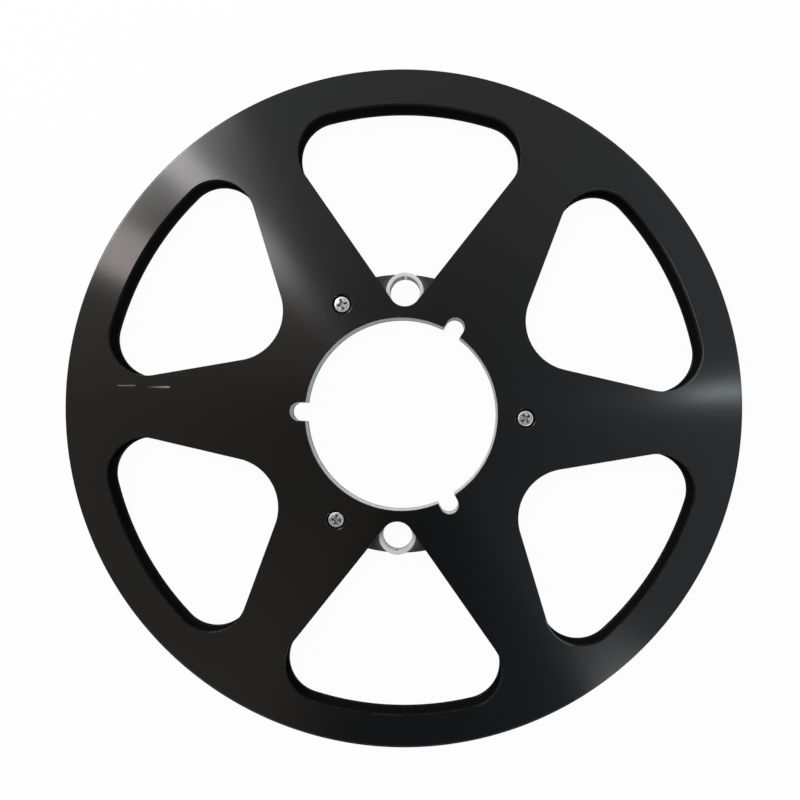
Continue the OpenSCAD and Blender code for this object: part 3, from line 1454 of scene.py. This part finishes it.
@dataclass
class Studio:
    """The floor, the soft room round the reel and its lamps."""

    floor_size: float = 8.0
    floor_drop: float = 0.1 * MM
    floor_level: float = 0.95
    floor_glow: float = 0.96
    zenith: Colour = grey(0.045, 0.1)
    horizon: Colour = grey(0.2)
    wall_rise: tuple[float, float] = (-0.2, 0.51)
    horizon_rise: tuple[float, float] = (0.75, 1.0)
    walls: tuple[tuple[float, Colour], ...] = (
        (-180.0, grey(0.44, 0.14)),
        (-150.0, grey(0.42, 0.03)),
        (-120.0, grey(0.46, 0.08)),
        (-104.0, grey(0.155, -0.03)),
        (-90.0, grey(0.175, -0.22)),
        (-76.0, grey(0.19, -0.15)),
        (-62.0, grey(0.3, -0.27)),
        (-45.0, grey(0.62, -0.07)),
        (-20.0, grey(0.64, -0.11)),
        (30.0, grey(0.75, -0.06)),
        (80.0, grey(0.66)),
        (120.0, grey(0.775, -0.03)),
        (150.0, grey(0.875, 0.07)),
        (180.0, grey(0.44, 0.14)),
    )
    lamps: tuple[Lamp, ...] = (
        Lamp("window_left", 135.2, 36.9, 0.046, 0.69, 8.7, (1.0, 0.97, 0.97)),
        Lamp("curtain_left", 135.5, 41.0, 0.24, 0.365, 6.1),
        Lamp("window_far_left", 152.6, 29.4, 0.074, 0.126, 9.1, (1.0, 0.925, 0.88)),
        Lamp("window_right", 6.9, 25.9, 0.01, 0.08, 28.0, (0.86, 0.94, 1.0)),
        Lamp("window_low_right", 310.2, 42.0, 0.1, 0.4, 10.0, lights_matt=False),
        Lamp("daylight_top", 105.0, 72.0, 0.3, 0.3, 8.0, lights_gloss=False),
    )

    def build_floor(self) -> None:
        """Lays the floor: white to the eye and in reflections, and shaded by what stands on it."""
        Solid.clear()
        bpy.ops.mesh.primitive_plane_add(size=self.floor_size, location=(0.0, 0.0, -self.floor_drop))
        floor = bpy.context.object
        floor.name = "floor"
        made = bpy.data.materials.new("floor_white")
        graph = Graph(made)
        path = graph.node("LightPath").outputs
        seen = Signal(graph, path["Is Camera Ray"])
        for ray in ("Is Glossy Ray", "Is Transmission Ray"):
            seen = graph.math("MAXIMUM", seen, Signal(graph, path[ray]))
        matt = graph.node("BsdfDiffuse", {"Color": grey(self.floor_level)})
        glow = graph.node("Emission", {"Color": grey(1.0), "Strength": 1.0})
        graph.close("MixShader", {0: seen * self.floor_glow, 1: matt.outputs[0], 2: glow.outputs[0]})
        floor.data.materials.append(made)

    def build_room(self) -> None:
        """Surrounds the reel with a room that is bright half way up, dim overhead and low down.

        The camera itself sees it white.
        """
        world = bpy.data.worlds.new("room")
        bpy.context.scene.world = world
        graph = Graph(world)
        x, y, _ = graph.split(graph.node("TexCoord").outputs["Generated"])
        turn = graph.math("ARCTAN2", y, x) / math.tau + 0.5
        stops = [(degrees / 360 + 0.5, colour) for degrees, colour in self.walls]
        walls = graph.node("ValToRGB", {"Fac": turn}, stops=stops).outputs["Color"]
        side = graph.distance(x, y)
        room = graph.blend(side.ramp(*self.wall_rise), self.zenith, walls)
        room = graph.blend(side.ramp(*self.horizon_rise), room, self.horizon)
        seen = graph.node("LightPath").outputs["Is Camera Ray"]
        room = graph.blend(Signal(graph, seen), room, grey(1.0))
        graph.close("Background", {"Color": room, "Strength": 1.0}, "OutputWorld")

    def build(self) -> None:
        """Makes the floor, the room and the lamps."""
        self.build_floor()
        self.build_room()
        Solid.clear()
        for lamp in self.lamps:
            lamp.build()
        bpy.context.scene.view_settings.view_transform = "Standard"


@dataclass
class PhotoCamera:
    """The camera at the photograph's viewpoint, found from the outlines of the reel."""

    lens: float = 37.95
    sensor: float = 36.0
    target: Place = (0.0, 0.0, 12.7 * MM)
    aside: Place = (-3.9 * MM, 17.64 * MM, -332.0 * MM)
    tilt: float = 2.638
    swing: float = -1.25
    roll: float = -1.869
    shift: Point = (-0.0135, 0.0743)

    def build(self) -> None:
        """Places the camera, from how the reel is turned and where its front stands before the lens."""
        turn = (
            Matrix.Rotation(math.radians(self.swing), 3, "Y")
            @ Matrix.Rotation(math.radians(self.tilt), 3, "X")
            @ Matrix.Rotation(math.radians(self.roll), 3, "Z")
        )
        back = turn.transposed()
        place = Vector(self.target) - back @ Vector(self.aside)
        bpy.ops.object.camera_add(location=place, rotation=back.to_euler())
        camera = bpy.context.object
        camera.name = "photo_camera"
        camera.data.lens, camera.data.sensor_width = self.lens, self.sensor
        camera.data.shift_x, camera.data.shift_y = self.shift
        bpy.context.scene.camera = camera


def main() -> None:
    """Builds the reel and the studio round it."""
    logging.basicConfig(level=logging.INFO, format="%(name)s: %(message)s", stream=sys.stdout)
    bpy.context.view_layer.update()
    Solid.clear()
    PhotoCamera().build()
    Studio().build()
    Flanges().build(BlackAnodised().material(), MattEdge().material())
    Hub().build(GreyAnodised().material())
    Liner().build(ClearAnodised().material())
    # lit and shaded copies of one finish: the upper bush has a paler lip and its barrel painted dark as
    # shade, the lower bush has its barrel painted pale as light
    Bushes().build((
        ClearAnodised("bush_painted_shade_aluminium", level=0.88, barrel_painted_light_and_shade_level=0.48).material(),
        ClearAnodised("bush_painted_light_aluminium", level=0.8, barrel_painted_light_and_shade_level=0.9).material(),
    ))
    Screws().build(BrightScrew().material())
    LOG.info("the reel is done")


if __name__ == "__main__":
    main()
